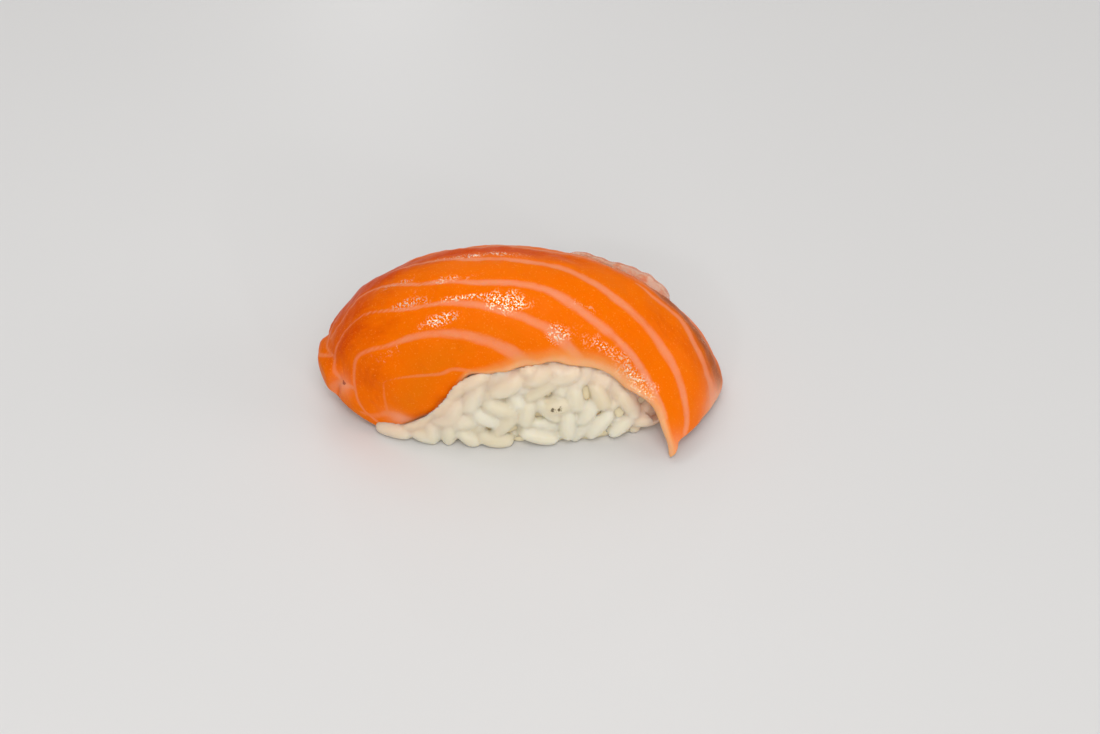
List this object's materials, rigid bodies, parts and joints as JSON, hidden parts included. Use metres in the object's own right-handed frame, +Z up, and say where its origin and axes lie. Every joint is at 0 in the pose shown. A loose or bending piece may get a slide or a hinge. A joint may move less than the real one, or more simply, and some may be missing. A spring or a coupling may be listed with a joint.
{
  "type": "salmon nigiri",
  "caption": "Slice of raw salmon draped over a pressed oblong ball of rice, standing on the rice's flat underside.",
  "frame": {"origin": "centre of the bounding box in plan, on the surface that the rice stands on", "axes": "+Z up; +X along the slice, towards its thin pointed end; -Y towards the front, where the slice leaves the rice showing"},
  "size_m": [0.0662, 0.0323, 0.0266],
  "materials": {
    "salmon_flesh": null,
    "cooked_rice": null
  },
  "bodies": {
    "root": {"salmon": "salmon_flesh", "rice": "cooked_rice"}
  },
  "joints": []
}
